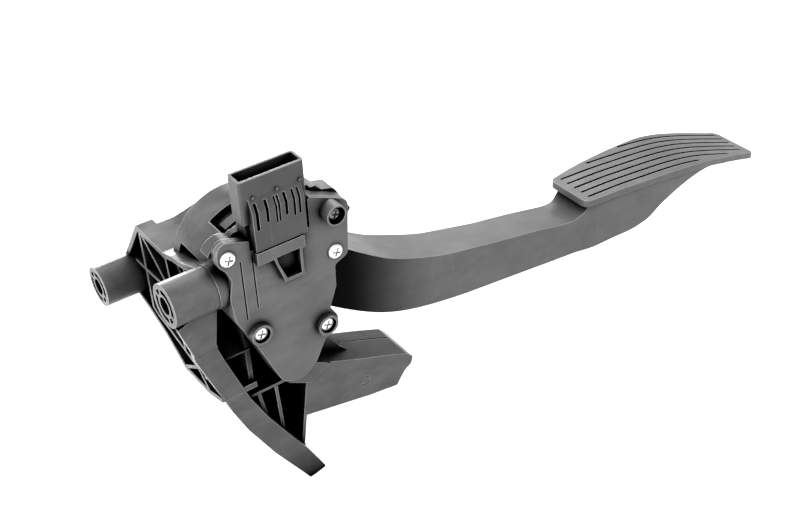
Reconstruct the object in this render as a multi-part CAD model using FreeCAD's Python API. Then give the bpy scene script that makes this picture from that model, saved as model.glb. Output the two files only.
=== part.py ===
import FreeCAD, Part
import math
import os

# Accelerator pedal, in millimetres.
# Every piece is drawn with X along the mounting tubes, Y along the pivot and Z up, with the
# front of the sensor cover at Y 0 and the pivot above X 0. The last step moves all pieces so
# that the centre of the near tube's mouth is the origin.

V = FreeCAD.Vector

# Pivot and hub
PIVOT_Z = 2.0
SHAFT_R = 4.0
SHAFT_FIT = 0.05          # running clearance in the bushes, on the radius
SHAFT_TAIL = 4.0          # shaft beyond the far wall
CLIP_GROOVE = 0.6
CLIP_T = 1.0
CLIP_R = 5.3              # retaining clip and its washer
BUSH_WALL = 1.6
BUSH_FLANGE_R = 8.0
BUSH_FLANGE_T = 0.6
DRUM_R = 17.0             # spring chamber in the hub
DRUM_DEPTH = 13.5
HUB_WALL = 3.5
HUB_R = DRUM_R + HUB_WALL
HUB_GAP = 1.7             # hub to the arch, on the radius
BOSS_R = 7.0
ARM_GAP = 1.0             # near wall to the arm
ARM_WIDTH = 18.0
FACE_GAP = 0.1
FRICTION_T = 2.5
RETAINER_T = 1.6

# Bracket
WALL = 2.2
RIB = 1.4
NEAR_WALL_Y0 = 11.0
NEAR_WALL_T = 3.0
ARM_Y0 = NEAR_WALL_Y0 + NEAR_WALL_T + ARM_GAP
ARM_Y1 = ARM_Y0 + ARM_WIDTH
FAR_WALL_Y0 = ARM_Y1 + FACE_GAP + FRICTION_T + RETAINER_T
FAR_WALL_T = 3.0
FAR_WALL_Y1 = FAR_WALL_Y0 + FAR_WALL_T
ARCH_T = 2.8
ARCH_R = HUB_R + HUB_GAP + ARCH_T
ARCH_END_Z = 8.5
WINDOW = (-14.2, -1.0, 15.5, 27.0)
RIM_X = -28.0
BACK_X = -12.0
BACK_T = 2.0
FAR_BACK_X = -20.5        # the far end of the frame is shallower
FRAME_STEP_Y = 62.8
STRIP_X1 = -19.6          # right edge of the sloping strip, with a gap behind it
ARCH_START_Z = 12.0       # the arch's left end, and where it runs down to the plate
ARCH_FOOT_Y = 36.0
PLATE_Z = 5.4

# Mounting tubes
TUBE_MOUTH_X = -43.8
TUBE_R = 8.75
TUBE_SKIN = 1.9
TUBE_INNER_R = 4.85
TUBE_BRIDGE = 1.5
TUBE_BRIDGE_TURNS = (24, 65)
TUBE_POCKET = 14.0
TUBE_NEAR = (10.0, 7.5)
TUBE_FAR = (79.3, -25.3)
TUBE_NEAR_END = -19.6
COLLAR_R = 9.1
COLLAR_X = -26.0
TUBE_BORE_R = 3.6
TUBE_BORE_DEPTH = 19.0
COVER_GAP = 0.3           # near tube to the sensor unit

# Beam under the arm
BEAM_Y0 = 12.0
BEAM_WIDTH = 21.5
BEAM_SKIN = 2.0
BEAM_LINE_Y = 26.0
SHELF_Z = -54.0
SHELF_T = 1.2

# Sensor unit
COVER_T = 2.0
HOUSING_FLOOR = 2.0
LOBE_SPOT = (-20.4, 21.8)
LOBE_R = 7.0
LOBE_Y0 = 4.5
LOBE_Y1 = 10.0
LOBE_CUT = [(-30.0, 27.8), (-20.5, 17.5), (-17.0, 13.0), (-40.0, 13.0)]
FLANGE_Y1 = 3.5
EAR_Y1 = 6.0
EAR_GAP = 0.4
CAVITY_R = 16.5
BOARD_Y0 = 2.6
BOARD_T = 1.6
ROTOR_Y0 = 6.0
ROTOR_R = 11.0
ROTOR_GAP = 0.5
MAGNET_R0 = 5.5
MAGNET_R1 = 8.5
MAGNET_T = 1.5
SOCKET_X0 = -13.8
SOCKET_X1 = 13.0
SOCKET_Y1 = 8.2
SOCKET_Z = 52.2
SOCKET_SKIN = 1.0
SOCKET_ROUND = 1.2
SOCKET_FLOOR_Z = 36.0
STEP_X0 = -10.9
STEP_X1 = 10.6
STEP_PROUD = 2.4
SLOT_BACK_Y = 0.2
PIN_COUNT = 6
PIN_PITCH = 3.5
PIN_SIZE = 0.8
PIN_Y0 = BOARD_Y0 + BOARD_T
PIN_REACH = 4.3

# Screws
SILVER_SPOTS = ((-21.7, 24.1), (22.9, 7.9), (-12.9, -13.6), (16.0, -23.4))
SILVER_PROUD = (0.0, 0.0, 3.0, 3.0)
SILVER_SINK = 0.6         # seat below the cover's face inside a raised boss
SILVER_HEAD_R = 3.0
SILVER_HEAD_H = 1.6
SILVER_SHANK_R = 1.25
SILVER_LENGTH = 8.0
BLACK_SPOT = (21.4, 27.5)
BLACK_PROUD = 6.0
BLACK_BOSS_R = 4.2
BLACK_RIM = 0.6
BLACK_SEAT_Y = -3.0
BLACK_HEAD_R = 2.6
BLACK_HEAD_H = 1.8
BLACK_SHANK_R = 1.6
BLACK_LENGTH = 15.5

# Pedal plate
PAD_T = 3.4
PAD_SLOPE = 0.083         # sideways run of the plate's centre line
PAD_CORNER = 3.5
GROOVE_FIRST_Y = 15.6
GROOVE_PITCH = 4.75
GROOVE_WIDTH = 1.3
GROOVE_DEPTH = 1.5
SKIRT_WALL = 3.0

# Stop at rest
ARM_SKIN = 3.0
LUG_FACE_X = 0.0
LUG_END_Z = -29.5
LUG_Y0 = ARM_Y0 + 2
LUG_Y1 = ARM_Y1 - 3
BUFFER_GAP = 0.05
BUFFER_T = 3.0
BUFFER_Z = -26.0
BUFFER_H = 5.0
BUFFER_W = 7.0
POST_T = 3.0

# Springs: wire, half turns and rise per turn
OUTER_WIRE = 2.2
OUTER_PITCH = 3.4
INNER_WIRE = 1.8
INNER_PITCH = 3.0
HALF_TURNS = 5
SPRING_GAP = 1.3
SPRING_LEG = 10.5
LEG_ROOM = 0.1


def arc_corner(before, corner, after, radius):
    """Tangent points and middle point of a rounded corner in a plane."""
    a = (before[0] - corner[0], before[1] - corner[1])
    b = (after[0] - corner[0], after[1] - corner[1])
    la = math.hypot(*a)
    lb = math.hypot(*b)
    a = (a[0] / la, a[1] / la)
    b = (b[0] / lb, b[1] / lb)
    half = math.acos(max(-1.0, min(1.0, a[0] * b[0] + a[1] * b[1]))) / 2
    reach = min(radius / math.tan(half), 0.48 * la, 0.48 * lb)
    radius = reach * math.tan(half)
    middle = (a[0] + b[0], a[1] + b[1])
    lm = math.hypot(*middle)
    depth = math.hypot(radius, reach) - radius
    return (
        (corner[0] + a[0] * reach, corner[1] + a[1] * reach),
        (corner[0] + middle[0] / lm * depth, corner[1] + middle[1] / lm * depth),
        (corner[0] + b[0] * reach, corner[1] + b[1] * reach),
    )


def outline(points, place):
    """Closed wire through corners (u, w) or (u, w, radius)."""
    count = len(points)
    runs = []
    for i, point in enumerate(points):
        radius = point[2] if len(point) > 2 else 0.0
        if radius > 0:
            runs.append(arc_corner(points[i - 1], point, points[(i + 1) % count], radius))
        else:
            runs.append((point[:2],))
    edges = []
    for i, run in enumerate(runs):
        if len(run) == 3:
            edges.append(Part.Arc(place(*run[0]), place(*run[1]), place(*run[2])).toShape())
        start = place(*run[-1])
        end = place(*runs[(i + 1) % count][0])
        if start.distanceToPoint(end) > 1e-6:
            edges.append(Part.makeLine(start, end))
    return Part.Wire(edges)


def prism_x(points, x0, x1):
    wire = outline(points, lambda u, w: V(x0, u, w))
    return Part.Face(wire).extrude(V(x1 - x0, 0, 0))


def prism_y(points, y0, y1):
    wire = outline(points, lambda u, w: V(u, y0, w))
    return Part.Face(wire).extrude(V(0, y1 - y0, 0))


def prism_z(points, z0, z1):
    wire = outline(points, lambda u, w: V(u, w, z0))
    return Part.Face(wire).extrude(V(0, 0, z1 - z0))


def box(x0, x1, y0, y1, z0, z1):
    return Part.makeBox(x1 - x0, y1 - y0, z1 - z0, V(x0, y0, z0))


def cyl_x(y, z, r, x0, x1):
    return Part.makeCylinder(r, x1 - x0, V(x0, y, z), V(1, 0, 0))


def cyl_y(x, z, r, y0, y1):
    return Part.makeCylinder(r, y1 - y0, V(x, y0, z), V(0, 1, 0))


def ring_y(x, z, r0, r1, y0, y1):
    return cyl_y(x, z, r1, y0, y1).cut(cyl_y(x, z, r0, y0 - 1, y1 + 1))


def strip(points, thickness):
    """Band beside an open polyline, on its right-hand side, with mitred corners."""
    normals = []
    for a, b in zip(points, points[1:]):
        length = math.hypot(b[0] - a[0], b[1] - a[1])
        normals.append(((b[1] - a[1]) / length, (a[0] - b[0]) / length))
    side = []
    for i, point in enumerate(points):
        first = normals[max(0, i - 1)]
        second = normals[min(len(normals) - 1, i)]
        scale = thickness / (1 + first[0] * second[0] + first[1] * second[1])
        side.append(
            (point[0] + (first[0] + second[0]) * scale, point[1] + (first[1] + second[1]) * scale)
        )
    return list(points) + side[::-1]


def fuse(shapes):
    joined = shapes[0]
    if len(shapes) > 1:
        joined = joined.fuse(shapes[1:])
    return joined.removeSplitter()


def cut(body, tools):
    return body.cut(tools if isinstance(tools, list) else [tools])


# Cover outline in X and Z
COVER = [
    (-22.6, 18.4, 3), (-25.7, 22.0, 4), (-25.3, 32.0, 5.5), (-12.4, 27.7, 1), (-12.4, 23.2), (13.0, 23.2),
    (13.0, 36.1, 1), (30.3, 28.3, 4), (29.5, 17.0), (28.8, 4.2, 3), (22.6, 1.5, 2), (22.4, -8.6, 2),
    (19.0, -17.6, 2), (22.3, -23.0, 4), (21.6, -28.2, 3), (15.6, -31.8), (10.6, -41.3, 6), (4.0, -46.4, 7),
    (-4.8, -43.5, 6), (-10.8, -28.7), (-15.4, -17.4, 8), (-21.4, -5.6, 8), (-22.6, 6.0, 8), (-21.0, 13.7, 3),
]

# Strap on the near side, from the near tube down to the foot, in Y and Z and in X and Z
STRAP_FACE = [
    (5.0, 2.5), (5.0, -16.5, 0.8), (7.2, -18.4, 1.5), (8.6, -27, 8), (9.6, -62, 20), (8.0, -86.5, 14), (11.0, -118),
    (14.8, -118), (12.3, -86.5, 14), (13.2, -62, 20), (12.3, -27, 6), (10.2, -19.6, 2), (7.6, -15.2, 1), (7.6, 2.5),
]
STRAP_SIDE = [
    (-42.4, -1.7, 1), (-41.9, -3.9), (-37.8, -16.5), (-36.6, -21.5), (-27.5, -45.7), (-24.0, -55.6),
    (-18.4, -68.6, 4), (-8.5, -86.5, 6), (8.5, -114.0, 1), (16.5, -111.8, 1), (7.2, -93.5, 3),
    (-2.0, -78.4), (-8.8, -66.8, 6), (-15.6, -52.7), (-21.5, -36.1), (-23.1, -31.6, 3),
    (-27.2, -19.6, 2), (-28.5, -15.0), (-26.0, 2.0), (-34.0, 1.4, 4),
]

# Walls of the mounting frame in Y and Z
SLOPE_WALL = [(13.0, 15.8), (17.0, 13.4), (28, 9.4), (35.6, 8.0), (43.5, PLATE_Z), (46.0, PLATE_Z)]
TOP_WALL = [(43.0, PLATE_Z), (66.8, PLATE_Z)]
FAR_WALL = [(64.5, PLATE_Z), (66.8, PLATE_Z), (85.0, -19.0)]
LOW_WALL = [
    (79.5, -34.5), (77.0, -35.2), (68.2, -38.1), (55.1, -43.2), (40.2, -52.0), (20.3, -51.0), (9.0, -47.9),
]
FRAME_RIBS = [
    [(65.0, 4.0), (64.2, -34.0), (59.4, -36.4), (51.0, -37.6), (27.4, -43.2), (19.5, -50.0)],
    [(63.7, 3.5), (47.0, -9.8), (30.0, -23.0), (12.0, -31.0)],
    [(42.3, 4.5), (41.3, -5.2), (38.0, -40.0)],
    [(73.2, -15.8), (52.7, -14.4), (28.0, -13.0), (12.0, 0.0)],
    [(40.2, -51.0), (27.4, -42.8)],
    [(26.0, 9.0), (22.0, -44.0)],
]
FRAME_BACK = [
    (12.0, 12.0), (28, 8.5), (35.6, 7.5), (43.0, 5.0), (66.4, 5.0), (84.6, -19.0), (80.0, -34.4),
    (68.2, -37.7), (55.1, -42.8), (40.2, -51.6), (20.3, -50.6), (12.0, -48.2),
]

# Side walls, ear, gusset and beam in X and Z
NEAR_WALL = [
    (-27.0, 13.0), (-27.0, 3.0, 1), (-14.5, -2.0, 3), (-12.6, -12.0), (-7.4, -27.0), (-2.8, -38.5),
    (1.5, -48.0), (3.3, -56.0), (13.1, -61.5), (23.8, -56.8), (20.5, -54.2), (14.5, -51.0, 3), (12.0, -44.0, 3),
    (14.0, -34.0, 3), (19.0, -26.0, 2), (21.6, -19.0, 2), (23.5, -8.0), (25.0, 2.0), (34.9, 16.6, 2), (35.2, 19.0, 1),
    (31.7, 25.0, 2), (28.3, 30.9, 3), (20.0, 31.0, 3), (8.0, 25.5), (-13.0, 25.5), (-19.4, 22.0, 3),
    (-19.4, 13.0),
]
EAR = [
    (14.5, 17.6), (34.0, 17.6), (35.2, 19.0, 1), (31.7, 25.0, 2), (28.3, 30.9, 3), (23.0, 32.2), (20.4, 34.9),
    (18.2, 34.9), (20.8, 31.3), (14.5, 31.0),
]
FAR_LEG = [(-14.0, 12.0), (-14.0, -56.2), (13.0, -56.2), (20.0, -20.0), (24.9, 0.0)]
GUSSET_FLOOR = [(8.6, -95.0), (0.4, -82.1), (-6.4, -70.4), (-13.6, -56.2)]
GUSSET_RIBS = [
    [(-9.8, -54.5), (-6.8, -72.5)],
    [(-1.8, -54.5), (-0.3, -83.5)],
    [(13.1, -58.0), (13.1, -60.6), (10.4, -78.8), (8.0, -95.0)],
]
GUSSET_BACK = [
    (-14.0, -54.5), (13.1, -56.0), (10.4, -78.8), (8.2, -95.0), (0.4, -82.1), (-6.4, -70.4),
]
BEAM_TOP = [(3.3, SHELF_Z), (18.6, -53.2), (23.8, -56.3), (38.6, -62.6), (51.0, -67.4), (62.9, -72.4)]
BEAM_LOW = [
    (66.4, -75.8, 1), (65.3, -79.3, 1), (61.9, -81.5), (59.7, -84.3), (57.4, -87.9, 0.8),
    (42.6, -85.7), (27.0, -82.4), (10.4, -79.0), (13.1, -60.6),
]
BEAM_ROOM = [
    (14.5, -57.0), (22.5, -59.0), (43.0, -67.6), (62.0, -75.4), (57.0, -84.0), (56.0, -90.0), (11.5, -90.0),
]
BEAM_RIBS = [[(26.0, -60.2), (26.0, -81.2)], [(38.0, -64.5), (38.0, -83.6)], [(50.0, -69.3), (50.0, -86.0)]]
FIN = [
    (16.0, -44.0), (24.0, -44.0, 2), (28.4, -49.4), (31.2, -54.2), (34.0, -58.5), (38.5, -63.0), (30.0, -62.0),
    (16.0, -56.0),
]
FIN_Y0 = 20.0


def tubes():
    near = cyl_x(*TUBE_NEAR, TUBE_R, TUBE_MOUTH_X, TUBE_NEAR_END)
    collar = cyl_x(*TUBE_NEAR, COLLAR_R, COLLAR_X, TUBE_NEAR_END)
    near = near.fuse(collar)
    room = prism_y(COVER, -1, NEAR_WALL_Y0)
    grown = Part.Wire(room.Faces[0].OuterWire.Edges)
    for face in room.Faces:
        if abs(face.normalAt(0, 0).y) > 0.99 and face.CenterOfMass.y < 0:
            grown = face.makeOffset2D(COVER_GAP)
    room = grown.extrude(V(0, NEAR_WALL_Y0 + 1, 0))
    lobe = cyl_y(*LOBE_SPOT, LOBE_R + COVER_GAP, -1, LOBE_Y1 + COVER_GAP)
    lobe = lobe.cut(prism_y([(x, z - COVER_GAP) for x, z in LOBE_CUT], -2, LOBE_Y1 + 1))
    near = near.cut([room, lobe])
    far = cyl_x(*TUBE_FAR, TUBE_R, TUBE_MOUTH_X, FAR_BACK_X)
    return [near, far]


def tube_hollows():
    tools = []
    for y, z in (TUBE_NEAR, TUBE_FAR):
        end = TUBE_MOUTH_X + TUBE_POCKET
        gap = cyl_x(y, z, TUBE_R - TUBE_SKIN, TUBE_MOUTH_X - 1, end)
        gap = gap.cut(cyl_x(y, z, TUBE_INNER_R, TUBE_MOUTH_X - 2, end + 1))
        for turn in TUBE_BRIDGE_TURNS:
            bridge = box(TUBE_MOUTH_X - 2, end + 1, y - TUBE_R, y + TUBE_R, z - TUBE_BRIDGE / 2, z + TUBE_BRIDGE / 2)
            bridge.rotate(V(0, y, z), V(1, 0, 0), turn)
            gap = gap.cut(bridge)
        tools.append(gap)
        tools.append(cyl_x(y, z, TUBE_BORE_R, TUBE_MOUTH_X - 1, TUBE_MOUTH_X + TUBE_BORE_DEPTH))
    return tools


def mount_frame():
    """Ribbed frame that carries both tubes, open towards the bulkhead."""
    walls = [prism_x(strip(points, WALL), RIM_X, BACK_X) for points in (TOP_WALL, FAR_WALL, LOW_WALL)]
    walls.append(prism_x(strip(SLOPE_WALL, WALL), RIM_X, STRIP_X1))
    walls += [prism_x(strip(points, RIB), RIM_X, BACK_X) for points in FRAME_RIBS]
    walls.append(prism_x(FRAME_BACK, BACK_X - BACK_T, BACK_X))
    deep = fuse(walls).cut(box(FAR_BACK_X, 0, FRAME_STEP_Y, 100, -60, 20))
    behind = prism_x(FRAME_BACK, FAR_BACK_X - BACK_T, BACK_X)
    far_back = behind.common(box(FAR_BACK_X - BACK_T, FAR_BACK_X, FRAME_STEP_Y - WALL, 100, -60, 20))
    step = behind.common(box(FAR_BACK_X - BACK_T, BACK_X, FRAME_STEP_Y - WALL, FRAME_STEP_Y, -60, 20))
    return [deep, far_back, step]


def strap():
    face = prism_x(STRAP_FACE, -50, 30)
    return face.common(prism_y(STRAP_SIDE, 0, 20))


def arch():
    """Cover over the hub with its window, and the top plate beside it."""
    y0 = NEAR_WALL_Y0
    y1 = FAR_WALL_Y1
    shell = ring_y(0, PIVOT_Z, ARCH_R - ARCH_T, ARCH_R, y0, y1)
    left = [box(-30, 0, y0, ARCH_FOOT_Y, ARCH_START_Z, 40), box(-30, 0, ARCH_FOOT_Y, y1, 3.0, 40)]
    shell = shell.common(fuse(left + [box(0, 30, y0, y1, ARCH_END_Z, 40)]))
    shell = shell.cut(box(*WINDOW, 15, 40))
    plate = prism_z([(RIM_X, 42.0), (STRIP_X1, 44.0), (STRIP_X1, 38.0), (-14.0, 38.0), (-14.0, FRAME_STEP_Y),
                     (FAR_BACK_X, FRAME_STEP_Y), (FAR_BACK_X, 66.8, 0.5), (RIM_X, 66.8)], PLATE_Z - WALL, PLATE_Z)
    ramp = prism_y([(-16.0, PLATE_Z), (-12.8, PLATE_Z, 20), (11.5, 11.6, 2), (13.5, 9.4), (-12.0, PLATE_Z - WALL),
                    (-16.0, PLATE_Z - WALL)], 38.0, FRAME_STEP_Y)
    skirt = box(-16, -13.8, 38.0, FRAME_STEP_Y, -10, 4.5)
    return [shell, plate, ramp, skirt]


def side_walls():
    near = prism_y(NEAR_WALL, NEAR_WALL_Y0, NEAR_WALL_Y0 + NEAR_WALL_T)
    ear = prism_y(EAR, EAR_Y1 + EAR_GAP, NEAR_WALL_Y0 + NEAR_WALL_T)
    far = cyl_y(0, PIVOT_Z, ARCH_R, FAR_WALL_Y0, FAR_WALL_Y1)
    leg = prism_y(FAR_LEG, FAR_WALL_Y0, FAR_WALL_Y1)
    back = box(BACK_X - BACK_T, BACK_X, 24.0, FAR_WALL_Y1, SHELF_Z - SHELF_T, -40)
    shelf = box(BACK_X - BACK_T, 19.5, BEAM_Y0, FAR_WALL_Y1, SHELF_Z - SHELF_T, SHELF_Z)
    return [near, ear, far, leg, back, shelf]


def gusset():
    """Ribbed pockets between the strap, the shelf and the beam."""
    y0 = BEAM_Y0
    y1 = BEAM_Y0 + BEAM_WIDTH
    pieces = [prism_y(strip(GUSSET_FLOOR, -WALL), y0, y1)]
    pieces += [prism_y(strip(points, RIB), y0, y1) for points in GUSSET_RIBS]
    pieces.append(prism_y(GUSSET_BACK, y1 - BEAM_SKIN, y1))
    return pieces


def beam():
    y0 = BEAM_Y0
    y1 = BEAM_Y0 + BEAM_WIDTH
    body = prism_y(BEAM_TOP + BEAM_LOW, y0, y1)
    room = prism_y(BEAM_ROOM, y0 + BEAM_SKIN, y1 - BEAM_SKIN)
    line = prism_y(strip(BEAM_TOP[1:], 0.5), BEAM_LINE_Y - 0.3, BEAM_LINE_Y + 0.3)
    body = body.cut([room, line])
    ribs = [prism_y(strip(points, RIB), y0 + 1, y1 - 1) for points in BEAM_RIBS]
    fin = prism_y(FIN, FIN_Y0, FIN_Y0 + RIB)
    return [body, fin] + ribs


def bracket():
    body = fuse(tubes() + mount_frame() + [strap(), buffer_post()] + arch() + side_walls() + gusset() + beam())
    tools = tube_hollows()
    seat_r = SHAFT_R + SHAFT_FIT + BUSH_WALL
    tools.append(cyl_y(0, PIVOT_Z, seat_r, 0, FAR_WALL_Y1 + 20))
    # the hub's own room between the walls
    tools.append(cyl_y(0, PIVOT_Z, HUB_R + HUB_GAP, NEAR_WALL_Y0 + NEAR_WALL_T, FAR_WALL_Y0))
    # room for the clip and washer behind the far wall
    tools.append(cyl_y(0, PIVOT_Z, CLIP_R + 0.5, FAR_WALL_Y1, FAR_WALL_Y1 + SHAFT_TAIL + 2))
    # pilot hole of the black screw and the round mark on the beam's side
    tools.append(cyl_y(*BLACK_SPOT, BLACK_SHANK_R, EAR_Y1, NEAR_WALL_Y0 + NEAR_WALL_T + 1))
    tools.append(ring_y(40.6, -76.0, 1.9, 2.3, BEAM_Y0 - 1, BEAM_Y0 + 0.2))
    return cut(body, tools)


def bush(y0, y1, flange_y0):
    outer = cyl_y(0, PIVOT_Z, SHAFT_R + SHAFT_FIT + BUSH_WALL, y0, y1)
    flange = cyl_y(0, PIVOT_Z, BUSH_FLANGE_R, flange_y0, flange_y0 + BUSH_FLANGE_T)
    body = outer.fuse(flange).removeSplitter()
    return body.cut(cyl_y(0, PIVOT_Z, SHAFT_R + SHAFT_FIT, y0 - 2, y1 + 2))


# Grooves in the front of the connector block: centre, lower end and width
SLOTS = (
    (-9.0, 32.0, 1.2), (-4.8, 34.0, 1.1), (-1.15, 32.4, 0.75), (0.15, 32.4, 0.75), (3.0, 34.0, 1.1),
    (6.3, 32.4, 0.9), (8.5, 32.4, 0.9),
)
SLOT_TOP_Z = 42.8
DOTS_X = (-9.0, 0.8, 10.4)
STEP_SIDE = [(0.0, 44.8), (-STEP_PROUD, 39.5), (-STEP_PROUD, 23.3), (SOCKET_Y1, 23.3), (SOCKET_Y1, 46.0), (0.0, 46.0)]
LOWER_POCKET = [(-8, -28, 2), (6, -28, 3), (8, -34, 3), (1, -42, 5), (-5, -38, 4)]


def rounded_block(x0, x1, y0, y1, z0, z1, radius):
    return prism_z([(x0, y0, radius), (x1, y0, radius), (x1, y1, radius), (x0, y1, radius)], z0, z1)


def housing():
    """Sensor housing with the connector socket moulded on."""
    y1 = NEAR_WALL_Y0
    body = prism_y(COVER, COVER_T, y1)
    body = body.cut([box(SOCKET_X1, 40, EAR_Y1, y1 + 1, 17.0, 50), box(-40, -12.4, FLANGE_Y1, y1 + 1, 16.5, 50)])
    neck = box(-12.4, SOCKET_X1, COVER_T, SOCKET_Y1, 22.0, 35.0)
    step = prism_x(STEP_SIDE, STEP_X0, STEP_X1)
    shell = rounded_block(SOCKET_X0, SOCKET_X1, 0.0, SOCKET_Y1, 34.5, SOCKET_Z, SOCKET_ROUND)
    lobe = cyl_y(*LOBE_SPOT, LOBE_R, COVER_T, LOBE_Y1).cut(prism_y(LOBE_CUT, 0, LOBE_Y1 + 1))
    lobe = lobe.cut(box(-40, 0, 0, LOBE_Y0, 0, 50)).fuse(lobe.common(prism_y(COVER, 0, LOBE_Y1)))
    dots = [cyl_y(x, 44.9, 0.6, -0.8, 0.5) for x in DOTS_X]
    body = fuse([body, neck, step, shell, lobe] + dots)
    tools = [
        cyl_y(0, PIVOT_Z, CAVITY_R, COVER_T - 1, y1 - HOUSING_FLOOR),
        seal(),
        cyl_y(0, PIVOT_Z, SHAFT_R + 0.6, 0, y1 + 1),
        rounded_block(SOCKET_X0 + SOCKET_SKIN, SOCKET_X1 - SOCKET_SKIN, SOCKET_SKIN, SOCKET_Y1 - SOCKET_SKIN,
                      SOCKET_FLOOR_Z, SOCKET_Z + 1, SOCKET_ROUND / 2),
        prism_y(LOWER_POCKET, COVER_T - 1, y1 - HOUSING_FLOOR),
        cyl_y(*BLACK_SPOT, BLACK_SHANK_R + 0.4, 0, y1 + 1),
    ]
    for x, z in SILVER_SPOTS:
        tools.append(cyl_y(x, z, SILVER_SHANK_R, 0, SILVER_LENGTH + 1.5))
    for x, low, width in SLOTS:
        bottom = width * 0.45
        tools.append(prism_y([(x - width / 2, low, bottom), (x + width / 2, low, bottom), (x + width / 2, SLOT_TOP_Z),
                              (x - width / 2, SLOT_TOP_Z)], -STEP_PROUD - 1, SLOT_BACK_Y))
    # room for the connector pins
    for x in pin_places():
        tools.append(box(x - PIN_SIZE / 2, x + PIN_SIZE / 2, PIN_Y0, PIN_Y0 + PIN_SIZE, 12.0, SOCKET_FLOOR_Z + 1))
    return cut(body, tools)


def pin_places():
    return [(i - (PIN_COUNT - 1) / 2) * PIN_PITCH for i in range(PIN_COUNT)]


# Ledge bar and hooked pocket on the cover, and its two long grooves
LEDGE = (-11.2, 9.0, 17.6, 22.9)
LEDGE_PROUD = 2.8
POCKET_OUTER = [(-4.6, 18.0), (-0.6, 5.6), (7.6, 5.6), (7.6, 18.0)]
POCKET_INNER = [(-3.4, 18.0), (-2.6, 14.5), (0.3, 6.8), (6.6, 6.8), (6.6, 18.0)]
POCKET_PROUD = 2.6
COVER_GROOVES = ((-12.1, -11.5, -2.7, 21.5), (-17.0, -16.4, -6.3, 20.5))


def cover():
    solids = [prism_y(COVER, 0.0, COVER_T)]
    for (x, z), proud in zip(SILVER_SPOTS, SILVER_PROUD):
        if proud:
            solids.append(cyl_y(x, z, SILVER_HEAD_R + 1.4, -proud, COVER_T))
    solids.append(cyl_y(*BLACK_SPOT, BLACK_BOSS_R, -BLACK_PROUD, COVER_T))
    x0, x1, z0, z1 = LEDGE
    solids.append(box(x0, x1, -LEDGE_PROUD, COVER_T, z0, z1))
    solids.append(prism_y(POCKET_OUTER, -POCKET_PROUD, COVER_T))
    body = fuse(solids)
    tools = []
    for (x, z), proud in zip(SILVER_SPOTS, SILVER_PROUD):
        tools.append(cyl_y(x, z, SILVER_SHANK_R + 0.3, -5, COVER_T + 1))
        if proud:
            tools.append(cyl_y(x, z, SILVER_HEAD_R + 0.4, -proud - 1, -SILVER_SINK))
    tools.append(cyl_y(*BLACK_SPOT, BLACK_BOSS_R - BLACK_RIM, -BLACK_PROUD - 1, BLACK_SEAT_Y))
    tools.append(cyl_y(*BLACK_SPOT, BLACK_SHANK_R + 0.4, -8, COVER_T + 1))
    tools.append(prism_y(POCKET_INNER, -4.0, COVER_T - 0.5))
    for x0, x1, z0, z1 in COVER_GROOVES:
        tools.append(box(x0, x1, -1, 0.7, z0, z1))
    return cut(body, tools)


def screw(x, z, seat, head_r, head_h, shank_r, length, cross_reach):
    """Domed screw along +Y with its seat at one Y and a cross recess in the head."""
    top = seat - head_h
    profile = [(0, seat), (head_r, seat), (head_r, seat - head_h * 0.45), (head_r * 0.86, seat - head_h * 0.82),
               (head_r * 0.58, top), (0, top), (0, seat)]
    face = Part.Face(Part.makePolygon([V(x + r, y, z) for r, y in profile]))
    head = face.revolve(V(x, 0, z), V(0, 1, 0), 360)
    for turn in (20, 110):
        slot = box(x - cross_reach, x + cross_reach, top - 1, top + 0.9, z - 0.4, z + 0.4)
        slot.rotate(V(x, 0, z), V(0, 1, 0), turn)
        head = head.cut(slot)
    return head.fuse(cyl_y(x, z, shank_r, seat, seat + length)).removeSplitter()


def cover_screws():
    pieces = []
    for (x, z), proud in zip(SILVER_SPOTS, SILVER_PROUD):
        seat = -SILVER_SINK if proud else 0.0
        pieces.append(screw(x, z, seat, SILVER_HEAD_R, SILVER_HEAD_H, SILVER_SHANK_R, SILVER_LENGTH, 1.8))
    return Part.makeCompound(pieces)


def fixing_screw():
    return screw(*BLACK_SPOT, BLACK_SEAT_Y, BLACK_HEAD_R, BLACK_HEAD_H, BLACK_SHANK_R, BLACK_LENGTH, 1.6)


def circuit_board():
    board = cyl_y(0, PIVOT_Z, CAVITY_R - 0.4, BOARD_Y0, BOARD_Y0 + BOARD_T)
    return board.cut(box(-20, 20, 0, 8, -20, -9.5))


def hall_chips():
    y0 = BOARD_Y0 + BOARD_T
    return Part.makeCompound([box(x - 2.0, x + 2.0, y0, y0 + 1.0, PIVOT_Z - 2.2, PIVOT_Z + 2.2)
                              for x in (-6.8, 6.8)])


def terminals():
    pins = [box(x - PIN_SIZE / 2, x + PIN_SIZE / 2, PIN_Y0, PIN_Y0 + PIN_SIZE, 12.0, SOCKET_FLOOR_Z + PIN_REACH)
            for x in pin_places()]
    return Part.makeCompound(pins)


def rotor():
    disc = cyl_y(0, PIVOT_Z, ROTOR_R, ROTOR_Y0 + MAGNET_T, NEAR_WALL_Y0 - HOUSING_FLOOR - ROTOR_GAP)
    hub = cyl_y(0, PIVOT_Z, MAGNET_R0, ROTOR_Y0, ROTOR_Y0 + MAGNET_T)
    body = disc.fuse(hub).removeSplitter()
    return body.cut(cyl_y(0, PIVOT_Z, SHAFT_R, ROTOR_Y0 + 0.8, 20))


def rotor_magnet():
    return ring_y(0, PIVOT_Z, MAGNET_R0, MAGNET_R1, ROTOR_Y0, ROTOR_Y0 + MAGNET_T)


def clip_place():
    return FAR_WALL_Y1 + SHAFT_TAIL - CLIP_T - 1.2


def shaft():
    body = cyl_y(0, PIVOT_Z, SHAFT_R, ROTOR_Y0 + 0.8, FAR_WALL_Y1 + SHAFT_TAIL)
    y0 = clip_place() - 0.02
    groove = ring_y(0, PIVOT_Z, SHAFT_R - CLIP_GROOVE, SHAFT_R + 1, y0, y0 + CLIP_T + 0.04)
    return body.cut(groove)


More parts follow.
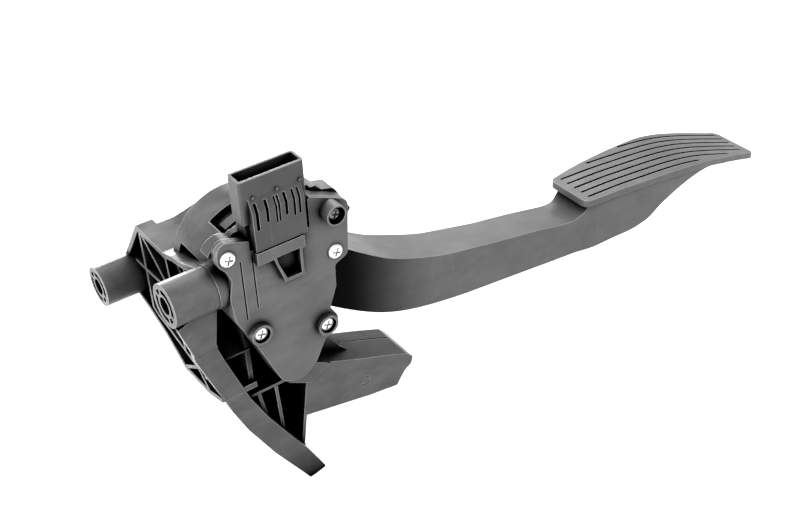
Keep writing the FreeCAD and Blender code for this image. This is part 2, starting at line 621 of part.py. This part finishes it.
def shaft_clip():
    y0 = clip_place()
    ring = ring_y(0, PIVOT_Z, SHAFT_R - CLIP_GROOVE + 0.02, CLIP_R, y0, y0 + CLIP_T)
    return ring.cut(box(-1.6, 1.6, 0, FAR_WALL_Y1 + 20, PIVOT_Z + 2.0, PIVOT_Z + 10))


def washer():
    return ring_y(0, PIVOT_Z, SHAFT_R + 0.3, CLIP_R, FAR_WALL_Y1 + FACE_GAP, clip_place() - FACE_GAP)


# Arm curves in X and Z, from the hub to the tail under the pedal plate
ARM_TOP = [
    (22.0, 7.4), (38.1, -6.7), (49.5, -14.9), (58.8, -20.7), (73.7, -27.0), (84.4, -30.6), (100.9, -34.3),
    (118.1, -37.8), (142.0, -42.3), (155.0, -45.2), (160.3, -46.1), (164.5, -46.1), (168.6, -44.5), (172.5, -39.5),
]
ARM_BOTTOM = [
    (174.0, -66.4), (162.9, -65.2), (141.0, -62.8), (120.0, -60.4), (97.8, -57.9), (80.3, -55.0), (62.4, -50.3),
    (52.0, -45.9), (42.0, -40.2), (28.5, -30.9), (20.0, -24.5), (10.0, -19.0),
]
ARM_ROOM = [
    (34.0, -9.5), (49.5, -19.2), (58.8, -24.6), (73.7, -31.0), (84.4, -34.6), (100.9, -38.3), (142.0, -46.4),
    (156.0, -49.3), (170.0, -50.0), (170.0, -90.0), (60.0, -90.0), (34.0, -60.0),
]
ARM_RIBS_X = (48, 71, 94, 117, 140, 163)
# far side of the arm seen from above: how far it flares beyond the hub's face
ARM_FLARE = [
    (-30.0, 0.0), (24.0, 0.0), (32.0, 4.0, 8), (50.0, 5.4, 30), (70.0, 4.2, 30), (90.0, 2.0, 40), (116.0, 0.5, 60),
    (180.0, 0.5),
]
TAIL_BOTTOM = [
    (160.0, -64.9), (166.0, -65.5), (176.0, -66.6), (187.5, -65.9), (202.0, -65.8), (208.0, -64.8), (213.0, -63.2),
    (217.0, -60.6), (225.0, -56.6), (234.0, -53.7), (247.0, -52.4), (259.0, -53.9), (270.0, -57.8), (276.0, -60.0),
]
PAD_TOP = [
    (160.0, -35.8), (180.0, -37.1), (192.0, -37.9), (204.0, -39.1), (216.0, -40.4), (228.0, -41.9),
    (240.0, -44.0), (252.0, -47.0), (264.0, -50.8), (276.0, -55.0), (302.0, -64.6),
]
# half widths of the plate towards the viewer's side and towards the far side
PAD_NEAR = [
    (167.6, 11.4), (180.0, 13.0), (192.0, 14.2), (204.0, 15.4), (216.0, 16.5), (228.0, 17.5), (238.0, 17.9),
    (252.0, 17.5), (264.0, 16.6), (276.0, 15.4), (299.3, 13.6),
]
PAD_FAR = [
    (167.6, 13.0), (180.0, 14.7), (192.0, 15.7), (204.0, 16.6), (216.0, 17.2), (228.0, 17.7), (238.0, 17.9),
    (252.0, 17.1), (264.0, 16.1), (276.0, 14.9), (299.3, 13.2),
]
# half widths of the skirt under the plate, flush with the arm where it starts
SKIRT_START = 166.0
SKIRT_NEAR = [
    (166.0, 8.68), (174.0, 9.95), (186.0, 12.0), (204.0, 14.2), (220.0, 15.7), (234.0, 16.6), (246.0, 16.2),
    (258.0, 15.2), (272.0, 14.0),
]
SKIRT_FAR = [
    (166.0, 9.85), (174.0, 11.6), (186.0, 13.7), (204.0, 15.3), (220.0, 16.2), (234.0, 16.7), (246.0, 16.3),
    (258.0, 15.3), (272.0, 14.0),
]
SKIRT_RIBS_X = (196, 220, 240)
GROOVE_ENDS = ((172, 247), (172, 275), (172, 291), (172, 292.5), (172, 293), (193, 293), (219, 293))


def pad_centre(x):
    return ARM_Y0 + ARM_WIDTH / 2 + PAD_SLOPE * (x - 170)


def side_curve(halves, sign, inset=0.0):
    """Smooth edge seen from above, moved in by inset."""
    points = [V(x, pad_centre(x) + sign * (half - inset), 0) for x, half in halves]
    points[0].x += inset
    points[-1].x -= inset
    return points


def plan(near, far, z0, z1, inset=0.0):
    """Upright solid between two smooth side edges, closed by straight ends."""
    near = side_curve(near, -1, inset)
    far = side_curve(far, 1, inset)
    edges = []
    for points in (near, far):
        curve = Part.BSplineCurve()
        curve.interpolate(points)
        edges.append(curve.toShape())
    edges += [Part.makeLine(near[0], far[0]), Part.makeLine(near[-1], far[-1])]
    solid = Part.Face(Part.Wire(Part.__sortEdges__(edges))).extrude(V(0, 0, z1 - z0))
    solid.translate(V(0, 0, z0))
    return solid


def smooth_face(runs):
    """Face in X and Z bounded by smooth curves through each run of points in turn."""
    edges = []
    for i, run in enumerate(runs):
        points = [V(x, 0, z) for x, z in run]
        if len(points) > 2:
            curve = Part.BSplineCurve()
            curve.interpolate(points)
            edges.append(curve.toShape())
        else:
            edges.append(Part.makeLine(*points))
        following = runs[(i + 1) % len(runs)][0]
        following = V(following[0], 0, following[1])
        if points[-1].distanceToPoint(following) > 1e-6:
            edges.append(Part.makeLine(points[-1], following))
    return Part.Face(Part.Wire(edges))


def smooth_prism(runs, y0, y1):
    solid = smooth_face(runs).extrude(V(0, y1 - y0, 0))
    solid.translate(V(0, y0, 0))
    return solid


def shifted(points, dz):
    return [(x, z + dz) for x, z in points]


def band(top, bottom):
    """Wide solid between two smooth curves that both run towards +X."""
    return smooth_prism([top, bottom[::-1]], -20, 90)


def pad_plate():
    plate = band(PAD_TOP, shifted(PAD_TOP, -PAD_T))
    edge = plan(PAD_NEAR, PAD_FAR, -80, -20)
    upright = [e for e in edge.Edges if e.BoundBox.ZLength > 1 and e.BoundBox.XLength < 1e-6]
    return plate.common(edge.makeFillet(PAD_CORNER, upright))


def grooves():
    """Long grooves in the pedal plate, pointed at the far end."""
    layer = band(shifted(PAD_TOP, 2.0), shifted(PAD_TOP, -GROOVE_DEPTH))
    tools = []
    half = GROOVE_WIDTH / 2
    for i, (x0, x1) in enumerate(GROOVE_ENDS):
        y = GROOVE_FIRST_Y + i * GROOVE_PITCH
        lane = prism_z([(x0, y - half), (x1, y - half), (x1 + 3, y), (x1, y + half), (x0, y + half)], -80, -20)
        tools.append(layer.common(lane))
    return tools


def above_arm():
    """Everything over the arm's upper curve."""
    first = ARM_TOP[0]
    last = ARM_TOP[-1]
    return smooth_prism([ARM_TOP, [last, (last[0], 30.0)], [(last[0], 30.0), (first[0], 30.0)]], -20, 90)


def tail():
    """Skirt under the pedal plate, open below."""
    top = PAD_TOP[:-1]
    outer = band(shifted(top, -0.5), TAIL_BOTTOM).common(plan(SKIRT_NEAR, SKIRT_FAR, -80, -20))
    room = band(shifted(top, -PAD_T - 0.2), shifted(TAIL_BOTTOM, -12))
    room = room.common(plan(SKIRT_NEAR, SKIRT_FAR, -80, -20, SKIRT_WALL))
    ribs = [box(x - 0.8, x + 0.8, -20, 90, -90, 0) for x in SKIRT_RIBS_X]
    room = room.cut(ribs + [box(100, SKIRT_START + 8, -20, 90, -90, 0)])
    return outer.cut([room, above_arm()])


def blade():
    """Box section between hub and pedal plate, open below and ribbed inside."""
    last = ARM_TOP[-1]
    low = ARM_BOTTOM[0]
    side = smooth_prism([ARM_TOP, [last, (low[0], last[1])], [(low[0], last[1]), low], ARM_BOTTOM,
                         [ARM_BOTTOM[-1], (0.0, 0.0)], [(0.0, 0.0), ARM_TOP[0]]], ARM_Y0, ARM_Y1 + 8)
    outer = [(p[0], ARM_Y1 + p[1], *p[2:]) for p in ARM_FLARE] + [(180.0, ARM_Y0), (-30.0, ARM_Y0)]
    inner = [(p[0], ARM_Y1 + p[1] - ARM_SKIN, *p[2:]) for p in ARM_FLARE]
    inner += [(180.0, ARM_Y0 + ARM_SKIN), (-30.0, ARM_Y0 + ARM_SKIN)]
    room = prism_y(ARM_ROOM, ARM_Y0, ARM_Y1 + 8).common(prism_z(inner, -100, 40))
    room = room.cut([box(x - RIB / 2, x + RIB / 2, 0, 60, -100, 40) for x in ARM_RIBS_X])
    return side.common(prism_z(outer, -100, 40)).cut(room)


def lug():
    """Stop lug on the hub, resting on the buffer."""
    return prism_y([(-8.0, -14.0), (LUG_FACE_X, -14.0), (LUG_FACE_X, LUG_END_Z, 1), (-4.5, LUG_END_Z, 2)],
                   LUG_Y0, LUG_Y1)


def arm():
    hub = cyl_y(0, PIVOT_Z, HUB_R, ARM_Y0, ARM_Y1)
    body = fuse([blade(), hub, lug(), tail(), pad_plate()])
    floor = ARM_Y1 - DRUM_DEPTH
    tools = [
        ring_y(0, PIVOT_Z, BOSS_R, DRUM_R, floor, ARM_Y1 + 10),
        cyl_y(0, PIVOT_Z, SHAFT_R, 0, 60),
    ]
    # slots that take the driven legs of both springs
    for radius, wire in ((outer_radius(), OUTER_WIRE), (inner_radius(), INNER_WIRE)):
        half = wire / 2 + LEG_ROOM
        tools.append(box(radius - half, radius + half, floor, floor + wire + 3 * LEG_ROOM,
                         PIVOT_Z, PIVOT_Z + SPRING_LEG + LEG_ROOM))
    return cut(body, tools + grooves())


def outer_radius():
    return DRUM_R - SPRING_GAP - OUTER_WIRE / 2


def inner_radius():
    return BOSS_R + SPRING_GAP + INNER_WIRE / 2


def eight_sided(radius, wire, turn):
    """Eight-sided wire section in X and Z, with the area of the round wire."""
    size = wire / 2 * 1.0267
    points = []
    for i in range(9):
        angle = math.radians(22.5 + 45 * i + turn)
        points.append(V(radius + size * math.cos(angle), 0, -size * math.sin(angle)))
    return Part.Face(Part.makePolygon(points))


def torsion_spring(radius, wire, pitch):
    """Coil round the pivot from half rings, each tipped so that its far end lies half a pitch on."""
    rise = pitch / 2
    tip = math.degrees(math.atan(rise / (2 * radius)))
    reach = math.hypot(2 * radius, rise) / 2
    pieces = []
    for i in range(HALF_TURNS):
        half = eight_sided(reach, wire, -2 * tip * i).revolve(V(0, 0, 0), V(0, 0, 1), 180)
        half.rotate(V(0, 0, 0), V(0, 1, 0), tip)
        half.rotate(V(0, 0, 0), V(0, 0, 1), 180 * i)
        half.translate(V(0, 0, rise * (i + 0.5)))
        pieces.append(half)
    leg = eight_sided(reach, wire, 0)
    leg.rotate(V(0, 0, 0), V(0, 1, 0), tip)
    leg.translate(V(0, 0, rise / 2))
    pieces.append(leg.extrude(V(0, -SPRING_LEG, 0)))
    coil = fuse(pieces)
    coil.rotate(V(0, 0, 0), V(1, 0, 0), -90)
    coil.translate(V(0, ARM_Y1 - DRUM_DEPTH + wire / 2 + LEG_ROOM, PIVOT_Z))
    return coil


def spring_outer():
    return torsion_spring(outer_radius(), OUTER_WIRE, OUTER_PITCH)


def spring_inner():
    return torsion_spring(inner_radius(), INNER_WIRE, INNER_PITCH)


# Snap tongue of the spring retainer in the arch's window: X range and length along Y
TONGUE_X = (-11.6, -4.0)
TONGUE_HEAD_Y = (19.4, 23.4)
TONGUE_GAP = 0.4


def spring_retainer():
    """Moulded plate behind the springs, with a snap tongue over the hub into the window."""
    y0 = FAR_WALL_Y0 - RETAINER_T
    r0 = HUB_R + TONGUE_GAP
    r1 = ARCH_R - ARCH_T - 0.2
    plate = ring_y(0, PIVOT_Z, BUSH_FLANGE_R + 0.3, DRUM_R + 1.6, y0, FAR_WALL_Y0)
    finger = ring_y(0, PIVOT_Z, r0, r1, TONGUE_HEAD_Y[0], FAR_WALL_Y0)
    bridge = ring_y(0, PIVOT_Z, DRUM_R + 1, r1, y0, FAR_WALL_Y0)
    head = ring_y(0, PIVOT_Z, r0, ARCH_R - 1.8, *TONGUE_HEAD_Y)
    lane = box(*TONGUE_X, 0, FAR_WALL_Y1, PIVOT_Z, ARCH_R + 5)
    return fuse([plate, fuse([finger, bridge, head]).common(lane)])


def friction_ring():
    return ring_y(0, PIVOT_Z, DRUM_R + 0.2, HUB_R - 0.2, ARM_Y1 + FACE_GAP, FAR_WALL_Y0 - RETAINER_T)


def rest_buffer():
    """Rubber block that the hub's lug lies against when the pedal is up."""
    x0 = LUG_FACE_X + BUFFER_GAP
    return prism_y([(x0, BUFFER_Z - BUFFER_H / 2, 1), (x0 + BUFFER_T, BUFFER_Z - BUFFER_H / 2),
                    (x0 + BUFFER_T, BUFFER_Z + BUFFER_H / 2), (x0, BUFFER_Z + BUFFER_H / 2, 1)],
                   LUG_Y1 - BUFFER_W, LUG_Y1)


def buffer_post():
    x0 = LUG_FACE_X + BUFFER_GAP + BUFFER_T
    return prism_y([(x0, SHELF_Z - SHELF_T), (x0 + POST_T + 3, SHELF_Z - SHELF_T),
                    (x0 + POST_T, BUFFER_Z + BUFFER_H / 2, 1), (x0, BUFFER_Z + BUFFER_H / 2)],
                   LUG_Y1 - BUFFER_W - 0.5, FAR_WALL_Y0 + 1)


def seal():
    """Sealing cord round the chamber, in a groove of the housing under the cover."""
    return ring_y(0, PIVOT_Z, CAVITY_R + 0.4, CAVITY_R + 1.6, COVER_T, COVER_T + 1.0)


NODES = {
    "bracket": bracket,
    "pivot_bush_near": lambda: bush(NEAR_WALL_Y0, NEAR_WALL_Y0 + NEAR_WALL_T, NEAR_WALL_Y0 + NEAR_WALL_T),
    "pivot_bush_far": lambda: bush(FAR_WALL_Y0, FAR_WALL_Y1, FAR_WALL_Y0 - BUSH_FLANGE_T),
    "sensor_housing": housing,
    "sensor_cover": cover,
    "cover_screws": cover_screws,
    "sensor_fixing_screw": fixing_screw,
    "circuit_board": circuit_board,
    "hall_chips": hall_chips,
    "connector_pins": terminals,
    "rotor": rotor,
    "rotor_magnet": rotor_magnet,
    "pivot_shaft": shaft,
    "shaft_clip": shaft_clip,
    "shaft_washer": washer,
    "pedal_arm": arm,
    "return_spring_outer": spring_outer,
    "return_spring_inner": spring_inner,
    "spring_retainer": spring_retainer,
    "friction_ring": friction_ring,
    "rest_buffer": rest_buffer,
    "cover_seal": seal,
}


def main():
    os.makedirs("parts", exist_ok=True)
    origin = V(-TUBE_MOUTH_X, -TUBE_NEAR[0], -TUBE_NEAR[1])
    for name, make in NODES.items():
        shape = make()
        shape.translate(origin)
        shape.exportStep("parts/%s.step" % name)
        print(name, shape.isValid(), len(shape.Solids), round(shape.Volume), len(shape.Faces))


main()
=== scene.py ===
import math

import bpy
from mathutils import Matrix, Vector


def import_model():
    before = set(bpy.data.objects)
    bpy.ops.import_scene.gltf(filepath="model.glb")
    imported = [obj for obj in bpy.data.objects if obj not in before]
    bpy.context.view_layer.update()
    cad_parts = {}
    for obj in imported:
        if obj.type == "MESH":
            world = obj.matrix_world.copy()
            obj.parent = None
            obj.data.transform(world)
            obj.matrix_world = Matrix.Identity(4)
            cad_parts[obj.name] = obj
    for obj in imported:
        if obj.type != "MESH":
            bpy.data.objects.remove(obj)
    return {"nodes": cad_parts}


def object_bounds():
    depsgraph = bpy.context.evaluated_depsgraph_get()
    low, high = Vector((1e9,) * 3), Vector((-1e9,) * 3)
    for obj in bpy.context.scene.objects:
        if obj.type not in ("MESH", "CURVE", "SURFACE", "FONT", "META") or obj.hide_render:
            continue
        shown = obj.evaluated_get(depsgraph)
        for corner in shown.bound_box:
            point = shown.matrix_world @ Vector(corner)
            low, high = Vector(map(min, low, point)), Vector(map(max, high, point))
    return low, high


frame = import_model()
cad_low, cad_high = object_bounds()

# All places and lengths are in metres in the row frame.

# Camera, with its angles in degrees and its lens and sensor in millimetres
CAMERA_AT = (-0.1256, -0.3282, 0.2654)
CAMERA_HEADING = 55.0766      # from +X towards +Y
CAMERA_DOWN = 36.386
CAMERA_ROLL = -2.10344
CAMERA_LENS = 54.19
SENSOR_WIDTH = 36.0
CAMERA_NEAR = 0.01

# White backdrop, and what it lights the object with
FLOOR_HALF = 0.75
FLOOR_CENTRE = (0.15, 0.03)
FLOOR_LIGHTS = (0.25, 0.25, 0.25, 1)
FLOOR_SHOWS = (0.93, 0.93, 0.93, 1)
FLOOR_ROUGH = 0.9
FLOOR_SHINE = 0.1
WORLD_LIGHTS = 0.28
WORLD_SHOWS = 1.0
WHITE = (1, 1, 1, 1)

# Lamps: name, place, width and height, watts
LAMPS_AIM = (0.12, 0.02, -0.03)
LAMPS = [
    ("top", (0.1, 0.25, 0.9), (1.0, 0.8), 5),
    ("back", (0.82, 0.84, 0.88), (0.7, 0.7), 17),
    ("low_back", (0.4, 1.4, 0.12), (1.2, 0.4), 28),
    ("left", (-1.0, 0.12, 0.05), (0.6, 0.5), 11),
    ("front", (-0.55, -0.75, 0.7), (1.1, 1.1), 35),
]

# Painted shade in recesses, where ambient occlusion darkens colour and reflection: how far
# a form throws its shade, and the open share that counts as black and as lit
SKY_SAMPLES = 8
NEAR_REACH = 0.007
NEAR_SKY = (0.53, 0.94)
WIDE_REACH = 0.042
WIDE_SKY = (0.25, 0.85)
METAL_REACH = 0.0025
METAL_SKY = (0.0, 0.6)

# Painted shadow of the housing on the arm's side: darkest at the housing and open beyond
# the second X
ARM_PAINTED_SHADOW = (0.080, 0.134)
PAINTED_SHADOW_LEAST = 0.03
SIDE_FACING = (-0.95, -0.6)   # Y of the normal on that side, and clear of it

# Edges: rounded normals, and a painted highlight that brightens colour along them
EDGE_SAMPLES = 6
EDGE_ROUND = 0.0005
METAL_EDGE = 0.0002
EDGE_TURN = (0.99, 0.88)      # dot of true and rounded normal, on a face and on an edge
# Painted highlight: how much the edge mask brightens the base colour
EDGE_HIGHLIGHT = 2.4                    # how much brighter an edge is

# Plastic
SHINE = 0.22
MOTTLE_SCALE = 110.0
MOTTLE_STRETCH = (0.6, 1, 1)
MOTTLE_MIDDLE = 0.88
PATCH_SCALE = 70.0
PATCH_ROUGH = 0.04
NOISE_BAND = (0.38, 0.62)
SCRATCHES_UPRIGHT = (900, 900, 26)
UPRIGHT_BAND = (0.69, 0.76)
SCRATCHES_SLANTED = (800, 800, 30)
SLANTED_TURN = (0, 0.9, 0)
SLANTED_BAND = (0.70, 0.77)
GRAIN_SCALE = 2600.0
GRAIN_STRENGTH = 0.1
GRAIN_DEPTH = 0.00006

# Metal
TARNISH_SCALE = 900.0
TARNISH_BAND = (0.3, 0.7)
TARNISH_ROUGH = (-0.06, 0.1)
DENT_SCALE = 700.0
DENT_STRENGTH = 0.3
DENT_DEPTH = 0.0002


def material(name, nodes):
    """Principled material put on every slot of the named nodes."""
    mat = bpy.data.materials.new(name)
    mat.use_nodes = True
    for node in nodes:
        for slot in frame["nodes"][node].material_slots:
            slot.material = mat
    return mat


class Tree:
    """Short calls for the shader nodes of one material."""

    def __init__(self, mat):
        self.nodes = mat.node_tree.nodes
        self.links = mat.node_tree.links
        self.sockets = self.nodes["Principled BSDF"].inputs
        self.coords = self.new("TexCoord").outputs["Object"]

    def new(self, kind):
        return self.nodes.new("ShaderNode" + kind)

    def put(self, socket, value):
        """Link an output, or set a number."""
        if isinstance(value, bpy.types.NodeSocket):
            self.links.new(value, socket)
        else:
            socket.default_value = value

    def noise(self, scale, detail, rough=0.55, stretch=None, turn=(0, 0, 0)):
        node = self.new("TexNoise")
        node.inputs["Scale"].default_value = scale
        node.inputs["Detail"].default_value = detail
        node.inputs["Roughness"].default_value = rough
        coords = self.coords
        if stretch:
            mapping = self.new("Mapping")
            mapping.inputs["Rotation"].default_value = turn
            mapping.inputs["Scale"].default_value = stretch
            self.put(mapping.inputs["Vector"], coords)
            coords = mapping.outputs["Vector"]
        self.put(node.inputs["Vector"], coords)
        return node.outputs["Fac"]

    def span(self, value, band, low=0.0, high=1.0):
        """A value's band stretched to run from low to high."""
        node = self.new("MapRange")
        self.put(node.inputs["Value"], value)
        ends = zip(("From Min", "From Max", "To Min", "To Max"), (*band, low, high))
        for socket, number in ends:
            node.inputs[socket].default_value = number
        return node.outputs["Result"]

    def combine(self, operation, a, b):
        node = self.new("Math")
        node.operation = operation
        self.put(node.inputs[0], a)
        self.put(node.inputs[1], b)
        return node.outputs["Value"]

    def true_normal(self):
        return self.new("NewGeometry").outputs["Normal"]

    def open_sky(self, reach, band):
        """Painted shade from ambient occlusion: 0 deep in a recess, 1 on an open face."""
        node = self.new("AmbientOcclusion")
        node.samples = SKY_SAMPLES
        node.inputs["Distance"].default_value = reach
        return self.span(node.outputs["AO"], band)

    def painted_side_shadow(self, band):
        """Painted shadow on the side towards -Y: nearly 0 up to one X and 1 beyond
        another.
        """
        place = self.new("SeparateXYZ")
        self.put(place.inputs["Vector"], self.coords)
        facing = self.new("SeparateXYZ")
        self.put(facing.inputs["Vector"], self.true_normal())
        along = self.span(place.outputs["X"], band, PAINTED_SHADOW_LEAST)
        along.node.interpolation_type = "SMOOTHSTEP"
        return self.combine("MAXIMUM", along, self.span(facing.outputs["Y"], SIDE_FACING))

    def tint(self, value, shade):
        """Colour of the shade, scaled by a value that may pass 1."""
        node = self.new("Mix")
        node.clamp_factor = False
        node.data_type = "RGBA"
        node.inputs["A"].default_value = (0, 0, 0, 1)
        node.inputs["B"].default_value = (*shade, 1)
        self.put(node.inputs["Factor"], value)
        return node.outputs["Result"]

    def soft_edges(self, radius):
        """Rounded normal, and 1 on an edge falling to 0 beside it."""
        node = self.new("Bevel")
        node.samples = EDGE_SAMPLES
        node.inputs["Radius"].default_value = radius
        turn = self.new("VectorMath")
        turn.operation = "DOT_PRODUCT"
        self.put(turn.inputs[0], node.outputs["Normal"])
        self.put(turn.inputs[1], self.true_normal())
        return node.outputs["Normal"], self.span(turn.outputs["Value"], EDGE_TURN)

    def bump(self, height, strength, depth, normal):
        node = self.new("Bump")
        node.inputs["Strength"].default_value = strength
        node.inputs["Distance"].default_value = depth
        self.put(node.inputs["Height"], height)
        self.put(node.inputs["Normal"], normal)
        return node.outputs["Normal"]


def plastic(name, nodes, shade, rough, mottle=0.0, scratches=0.0, shine=SHINE, edge_highlight=EDGE_HIGHLIGHT,
            wide=WIDE_SKY, painted_shadow=None):
    """Moulded plastic: fine grain, random tone, painted highlight on edges, painted shade
    in recesses.
    """
    tree = Tree(material(name, nodes))
    # Painted shade: ambient occlusion darkens colour and reflection in recesses, creases
    # and under parts
    near_sky = tree.open_sky(NEAR_REACH, NEAR_SKY)
    painted_shade = tree.combine("MULTIPLY", near_sky, tree.open_sky(WIDE_REACH, wide))
    # Painted shadow of the housing across the arm's near side
    if painted_shadow:
        painted_shade = tree.combine("MULTIPLY", painted_shade, tree.painted_side_shadow(painted_shadow))
    clouds = tree.noise(MOTTLE_SCALE, 5.0, 0.6, MOTTLE_STRETCH)
    broad = tree.span(clouds, NOISE_BAND, MOTTLE_MIDDLE - mottle, MOTTLE_MIDDLE + mottle)
    rounded, edge = tree.soft_edges(EDGE_ROUND)
    # Random tone, plus a painted highlight that brightens colour along edges
    tone_and_highlight = tree.combine("ADD", broad, tree.combine("MULTIPLY", edge, edge_highlight))
    value = tree.combine("MULTIPLY", painted_shade, tone_and_highlight)
    patches = tree.span(tree.noise(PATCH_SCALE, 5.0, 0.65), NOISE_BAND, -1.0, 1.0)
    uneven = tree.combine("MULTIPLY", patches, PATCH_ROUGH + mottle / 4)
    roughness = tree.combine("ADD", uneven, rough)
    if scratches:
        upright = tree.span(tree.noise(1.0, 2.0, 0.5, SCRATCHES_UPRIGHT), UPRIGHT_BAND)
        slanted = tree.noise(1.0, 2.0, 0.5, SCRATCHES_SLANTED, SLANTED_TURN)
        slanted = tree.span(slanted, SLANTED_BAND)
        lines = tree.combine("MAXIMUM", upright, slanted)
        lines = tree.combine("MULTIPLY", lines, scratches)
        value = tree.combine("ADD", value, tree.combine("MULTIPLY", lines, painted_shade))
    tree.put(tree.sockets["Base Color"], tree.tint(value, shade))
    tree.put(tree.sockets["Roughness"], roughness)
    # Painted shade also dims the reflection in recesses
    tree.put(tree.sockets["Specular IOR Level"], tree.combine("MULTIPLY", painted_shade, shine))
    grain = tree.noise(GRAIN_SCALE, 2.0)
    grain = tree.bump(grain, GRAIN_STRENGTH, GRAIN_DEPTH, rounded)
    tree.put(tree.sockets["Normal"], grain)


def metal(name, nodes, shade, rough, metallic=1.0):
    """Bare or coated metal, with worn patches and painted shade in recesses."""
    tree = Tree(material(name, nodes))
    # Painted shade: ambient occlusion darkens the metal's colour in recesses
    painted_shade = tree.open_sky(METAL_REACH, METAL_SKY)
    tree.put(tree.sockets["Base Color"], tree.tint(painted_shade, shade))
    tree.put(tree.sockets["Metallic"], metallic)
    low, high = (rough + change for change in TARNISH_ROUGH)
    tarnish = tree.span(tree.noise(TARNISH_SCALE, 4.0), TARNISH_BAND, low, high)
    tree.put(tree.sockets["Roughness"], tarnish)
    dents = tree.noise(DENT_SCALE, 3.0)
    rounded = tree.soft_edges(METAL_EDGE)[0]
    dents = tree.bump(dents, DENT_STRENGTH, DENT_DEPTH, rounded)
    tree.put(tree.sockets["Normal"], dents)


def grey(value):
    return (value, value, value * 1.02)


def finishes():
    plastic("bracket_black", ["bracket"], grey(0.064), 0.36, mottle=0.2, edge_highlight=4.0,
            wide=(0.44, 0.92))
    plastic("housing_black", ["sensor_housing"], grey(0.046), 0.36, mottle=0.12,
            scratches=0.4, edge_highlight=3.6)
    plastic("cover_black", ["sensor_cover"], grey(0.085), 0.40, mottle=0.12,
            scratches=0.6)
    # The arm's near side carries a painted shadow of the housing
    plastic("arm_black", ["pedal_arm"], grey(0.084), 0.44, mottle=0.10,
            scratches=0.3, painted_shadow=ARM_PAINTED_SHADOW)
    plastic("retainer_black", ["spring_retainer"], grey(0.08), 0.45)
    plastic("bush_white", ["pivot_bush_near", "pivot_bush_far"], (0.62, 0.60, 0.55), 0.4,
            edge_highlight=0.3)
    plastic("friction_grey", ["friction_ring"], grey(0.25), 0.5, edge_highlight=1.0)
    plastic("rotor_black", ["rotor"], grey(0.05), 0.45)
    plastic("rubber_black", ["rest_buffer", "cover_seal"], grey(0.03), 0.75, shine=0.2)
    plastic("board_green", ["circuit_board"], (0.02, 0.09, 0.04), 0.4)
    plastic("chip_black", ["hall_chips"], grey(0.03), 0.45)
    metal("zinc", ["cover_screws", "shaft_washer"], grey(0.72), 0.34, 0.8)
    metal("black_coat", ["sensor_fixing_screw", "shaft_clip"], grey(0.13), 0.2)
    metal("ground_steel", ["pivot_shaft"], grey(0.62), 0.25)
    metal("spring_wire", ["return_spring_outer", "return_spring_inner"], grey(0.3), 0.35)
    metal("tinned", ["connector_pins"], (0.8, 0.76, 0.6), 0.25)
    metal("ferrite", ["rotor_magnet"], grey(0.08), 0.5, 0.5)


def add_object(name, data):
    obj = bpy.data.objects.new(name, data)
    bpy.context.collection.objects.link(obj)
    return obj


def camera():
    heading = math.radians(CAMERA_HEADING)
    down = math.radians(CAMERA_DOWN)
    roll = math.radians(CAMERA_ROLL)
    ahead = Vector((math.cos(heading), math.sin(heading), 0))
    right = Vector((ahead.y, -ahead.x, 0))
    look = ahead * math.cos(down) - Vector((0, 0, math.sin(down)))
    up = ahead * math.sin(down) + Vector((0, 0, math.cos(down)))
    side = right * math.cos(roll) + up * math.sin(roll)
    top = up * math.cos(roll) - right * math.sin(roll)
    data = bpy.data.cameras.new("camera")
    data.sensor_width = SENSOR_WIDTH
    data.lens = CAMERA_LENS
    data.clip_start = CAMERA_NEAR
    obj = add_object("camera", data)
    turn = Matrix((side, top, -look)).transposed()
    obj.matrix_world = Matrix.Translation(CAMERA_AT) @ turn.to_4x4()
    bpy.context.scene.camera = obj


def backdrop_mix(tree, data_type, lights, shows):
    """One value for rays that show the backdrop, another for those that light by it."""
    rays = tree.nodes.new("ShaderNodeLightPath")
    showing = rays.outputs["Is Camera Ray"]
    for other in ("Is Glossy Ray", "Is Transmission Ray"):
        node = tree.nodes.new("ShaderNodeMath")
        node.operation = "MAXIMUM"
        tree.links.new(showing, node.inputs[0])
        tree.links.new(rays.outputs[other], node.inputs[1])
        showing = node.outputs["Value"]
    mix = tree.nodes.new("ShaderNodeMix")
    mix.data_type = data_type
    mix.inputs["A"].default_value = lights
    mix.inputs["B"].default_value = shows
    tree.links.new(showing, mix.inputs["Factor"])
    return mix.outputs["Result"]


def floor():
    x, y = FLOOR_CENTRE
    corners = [(x + side * FLOOR_HALF, y + front * FLOOR_HALF, cad_low.z)
               for side, front in ((-1, -1), (1, -1), (1, 1), (-1, 1))]
    mesh = bpy.data.meshes.new("floor")
    mesh.from_pydata(corners, [], [(0, 1, 2, 3)])
    obj = add_object("floor", mesh)
    mat = bpy.data.materials.new("floor_white")
    mat.use_nodes = True
    tree = mat.node_tree
    sockets = tree.nodes["Principled BSDF"].inputs
    colour = backdrop_mix(tree, "RGBA", FLOOR_LIGHTS, FLOOR_SHOWS)
    tree.links.new(colour, sockets["Base Color"])
    sockets["Roughness"].default_value = FLOOR_ROUGH
    sockets["Specular IOR Level"].default_value = FLOOR_SHINE
    mesh.materials.append(mat)


def world():
    world = bpy.data.worlds.new("world")
    world.use_nodes = True
    tree = world.node_tree
    sockets = tree.nodes["Background"].inputs
    sockets["Color"].default_value = WHITE
    strength = backdrop_mix(tree, "FLOAT", WORLD_LIGHTS, WORLD_SHOWS)
    tree.links.new(strength, sockets["Strength"])
    bpy.context.scene.world = world


def lamps():
    for name, at, size, power in LAMPS:
        data = bpy.data.lights.new(name, "AREA")
        data.shape = "RECTANGLE"
        data.size, data.size_y = size
        data.energy = power
        obj = add_object(name, data)
        obj.location = at
        obj.rotation_mode = "QUATERNION"
        towards = Vector(LAMPS_AIM) - Vector(at)
        obj.rotation_quaternion = towards.to_track_quat("-Z", "Y")


finishes()
camera()
floor()
world()
lamps()
bpy.context.scene.view_settings.view_transform = "Standard"
